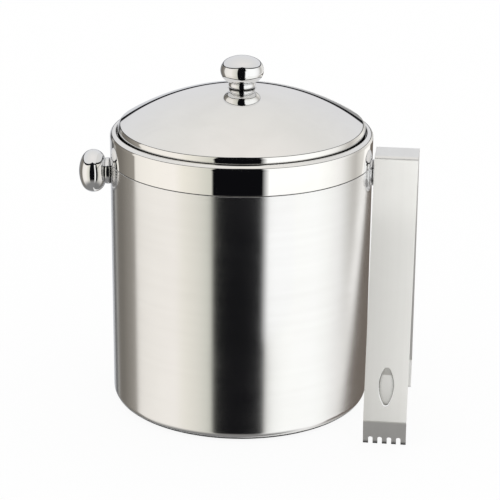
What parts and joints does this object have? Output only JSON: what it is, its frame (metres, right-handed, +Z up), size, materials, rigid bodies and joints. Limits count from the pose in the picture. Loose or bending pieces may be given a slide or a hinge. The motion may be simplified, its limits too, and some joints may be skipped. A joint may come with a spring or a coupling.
{
  "type": "ice bucket",
  "caption": "Round double-walled steel ice bucket with a satin body, polished rim band, domed lift-off lid, round knobs on the sides and lid, and sprung strip tongs standing beside it.",
  "frame": {"origin": "centre of the bucket's base, on the surface that the bucket stands on", "axes": "+Z up along the bucket's axis, -Y towards the front, +X to the right-hand knob, where the tongs stand"},
  "size_m": [0.1967, 0.1576, 0.2036],
  "materials": {
    "satin_steel": "satin, turned fine and even",
    "liner_steel": "semi-bright drawn sheet",
    "polished_steel": "mirror-polished stainless steel",
    "chromed_knob": "bright chrome",
    "fastener_steel": "zinc-plated",
    "tongs_steel": "satin rolled strip"
  },
  "bodies": {
    "bucket": {"outer_shell": "satin_steel", "inner_liner": "liner_steel", "rim_collar": "polished_steel", "left_knob": "chromed_knob", "right_knob": "chromed_knob", "left_knob_screw": "fastener_steel", "right_knob_screw": "fastener_steel", "left_knob_washer": "fastener_steel", "right_knob_washer": "fastener_steel"},
    "lid": {"lid_dome": "polished_steel", "lid_skirt": "liner_steel", "lid_knob": "chromed_knob", "lid_knob_screw": "fastener_steel", "lid_knob_washer": "fastener_steel"},
    "tongs": {"tongs_bow": "tongs_steel"},
    "front_arm": {"tongs_front_arm": "tongs_steel"},
    "rear_arm": {"tongs_rear_arm": "tongs_steel"}
  },
  "joints": [
    {"name": "lid_lift", "type": "slide", "parent": "bucket", "child": "lid", "axis": [0, 0, 1], "range_m": [0, 0.08]},
    {"name": "tongs_lift", "type": "slide", "parent": "bucket", "child": "tongs", "axis": [0, -0.6, 0.8], "range_m": [0, 0.12]},
    {"name": "front_arm_squeeze", "type": "hinge", "parent": "tongs", "child": "front_arm", "pos_m": [0.08478, -0.04586, 0.15634], "axis": [0.9925, -0.1219, 0], "range_deg": [0, 14], "stiffness_Nm_per_rad": 3},
    {"name": "rear_arm_squeeze", "type": "hinge", "parent": "tongs", "child": "rear_arm", "pos_m": [0.08727, -0.02556, 0.15634], "axis": [-0.9925, 0.1219, 0], "range_deg": [0, 14], "stiffness_Nm_per_rad": 3}
  ],
  "couplings": [
    {"joint": "rear_arm_squeeze", "follows": "front_arm_squeeze", "ratio": 1}
  ]
}
